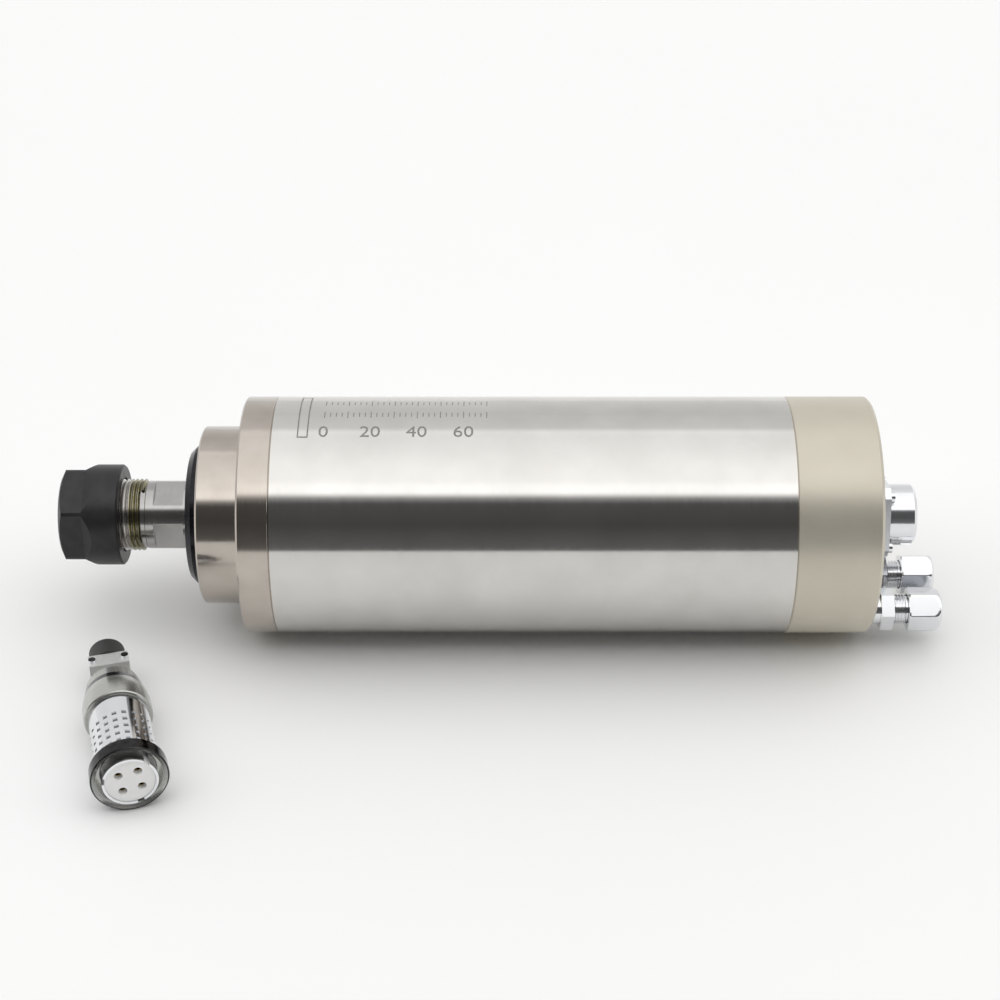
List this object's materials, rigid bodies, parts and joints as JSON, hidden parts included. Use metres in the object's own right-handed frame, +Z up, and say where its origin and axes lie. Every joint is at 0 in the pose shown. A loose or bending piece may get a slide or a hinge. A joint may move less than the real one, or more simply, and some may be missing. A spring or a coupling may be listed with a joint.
{
  "type": "motor spindle",
  "caption": "Round water-cooled motor spindle lying on its side, with collet nose, black slinger, steel sleeve, rear socket, hose fittings and a loose cable plug.",
  "frame": {"origin": "on the spindle axis at the front face of the 80 mm flange", "axes": "+X along the axis from the nose to the rear, +Z up; the spindle lies on a table, and -Y is the side that the loose plug lies on"},
  "size_m": [0.2964, 0.1452, 0.08],
  "materials": {
    "polished_steel": "polished",
    "turned_steel": "satin, fine turned",
    "ground_steel": "ground",
    "bearing_steel": "polished",
    "bearing_cage": "moulded",
    "black_oxide": "black oxide, satin",
    "collet_steel": "ground",
    "screw_steel": "zinc plated",
    "cast_aluminium": "machined casting",
    "painted_cap": "satin, bead blasted",
    "core_iron": "laminated",
    "copper_winding": "varnished",
    "seal_rubber": "matte",
    "chromed_brass": "bright plated",
    "brass_contact": "bright",
    "fitting_brass": "satin",
    "white_insert": "moulded"
  },
  "bodies": {
    "housing": {"outer_sleeve": "polished_steel", "water_jacket": "cast_aluminium", "jacket_seal_front": "seal_rubber", "jacket_seal_rear": "seal_rubber", "front_bearing_housing": "turned_steel", "bearing_retainer": "turned_steel", "flange_screws": "screw_steel", "retainer_screws": "screw_steel", "front_bearing_a_outer_race": "bearing_steel", "front_bearing_b_outer_race": "bearing_steel", "rear_bearing_outer_race": "bearing_steel", "outer_spacer": "ground_steel", "stator_core": "core_iron", "stator_winding": "copper_winding", "rear_bearing_carrier": "cast_aluminium", "preload_spring": "ground_steel", "rear_cap": "painted_cap", "cap_screws": "screw_steel", "socket_gasket": "seal_rubber", "power_socket_shell": "chromed_brass", "power_socket_insert": "white_insert", "power_socket_pins": "brass_contact", "socket_screws": "chromed_brass", "inlet_washer": "fitting_brass", "outlet_washer": "fitting_brass", "inlet_fitting": "chromed_brass", "outlet_fitting": "chromed_brass"},
    "rotor": {"shaft": "ground_steel", "rotor_core": "core_iron", "squirrel_cage": "cast_aluminium", "front_bearing_a_inner_race": "bearing_steel", "front_bearing_b_inner_race": "bearing_steel", "rear_bearing_inner_race": "bearing_steel", "inner_spacer": "ground_steel", "dust_slinger": "black_oxide", "rear_locknut": "ground_steel"},
    "front_ball_sets": {"front_bearing_a_cage": "bearing_cage", "front_bearing_a_balls": "bearing_steel", "front_bearing_b_cage": "bearing_cage", "front_bearing_b_balls": "bearing_steel"},
    "rear_ball_set": {"rear_bearing_cage": "bearing_cage", "rear_bearing_balls": "bearing_steel"},
    "collet": {"collet": "collet_steel"},
    "collet_nut": {"collet_nut": "black_oxide", "extractor_ring": "black_oxide"},
    "inlet_ferrule": {"inlet_ferrule": "fitting_brass"},
    "inlet_nut": {"inlet_hose_nut": "chromed_brass"},
    "outlet_ferrule": {"outlet_ferrule": "fitting_brass"},
    "outlet_nut": {"outlet_hose_nut": "chromed_brass"},
    "plug": {"plug_key_shell": "chromed_brass", "plug_insert": "white_insert", "plug_contacts": "brass_contact", "plug_shell": "chromed_brass", "plug_clamp_upper": "chromed_brass", "plug_clamp_lower": "chromed_brass", "plug_clamp_screws": "chromed_brass", "plug_grommet": "seal_rubber"},
    "plug_ring": {"plug_coupling_ring": "chromed_brass"}
  },
  "joints": [
    {"name": "shaft_spin", "type": "hinge", "parent": "housing", "child": "rotor", "pos_m": [0, 0, 0], "axis": [1, 0, 0], "continuous": true},
    {"name": "front_balls_orbit", "type": "hinge", "parent": "housing", "child": "front_ball_sets", "pos_m": [0, 0, 0], "axis": [1, 0, 0], "continuous": true},
    {"name": "rear_balls_orbit", "type": "hinge", "parent": "housing", "child": "rear_ball_set", "pos_m": [0.165, 0, 0], "axis": [1, 0, 0], "continuous": true},
    {"name": "collet_travel", "type": "slide", "parent": "rotor", "child": "collet", "axis": [-1, 0, 0], "range_m": [0, 0.009]},
    {"name": "collet_nut_turn", "type": "hinge", "parent": "collet", "child": "collet_nut", "pos_m": [-0.052, 0, 0], "axis": [-1, 0, 0], "range_deg": [0, 2160]},
    {"name": "inlet_ferrule_travel", "type": "slide", "parent": "housing", "child": "inlet_ferrule", "axis": [1, 0, 0], "range_m": [0, 0.005]},
    {"name": "inlet_nut_turn", "type": "hinge", "parent": "inlet_ferrule", "child": "inlet_nut", "pos_m": [0.2285, -0.00048, -0.02512], "axis": [1, 0, 0], "range_deg": [0, 1800]},
    {"name": "outlet_ferrule_travel", "type": "slide", "parent": "housing", "child": "outlet_ferrule", "axis": [1, 0, 0], "range_m": [0, 0.005]},
    {"name": "outlet_nut_turn", "type": "hinge", "parent": "outlet_ferrule", "child": "outlet_nut", "pos_m": [0.2285, -0.0184, -0.0262], "axis": [1, 0, 0], "range_deg": [0, 1800]},
    {"name": "plug_lift", "type": "slide", "parent": "housing", "child": "plug", "axis": [0, 0, 1], "range_m": [0, 0.1]},
    {"name": "coupling_ring_turn", "type": "hinge", "parent": "plug", "child": "plug_ring", "pos_m": [-0.0287, -0.1015, -0.02762], "axis": [-0.2586, 0.9652, -0.0387], "continuous": true}
  ],
  "couplings": [
    {"joint": "front_balls_orbit", "follows": "shaft_spin", "ratio": 0.42},
    {"joint": "rear_balls_orbit", "follows": "shaft_spin", "ratio": 0.415},
    {"joint": "collet_travel", "follows": "collet_nut_turn", "m_per_rad": 0.00023873},
    {"joint": "inlet_ferrule_travel", "follows": "inlet_nut_turn", "m_per_rad": 0.00015915},
    {"joint": "outlet_ferrule_travel", "follows": "outlet_nut_turn", "m_per_rad": 0.00015915}
  ]
}
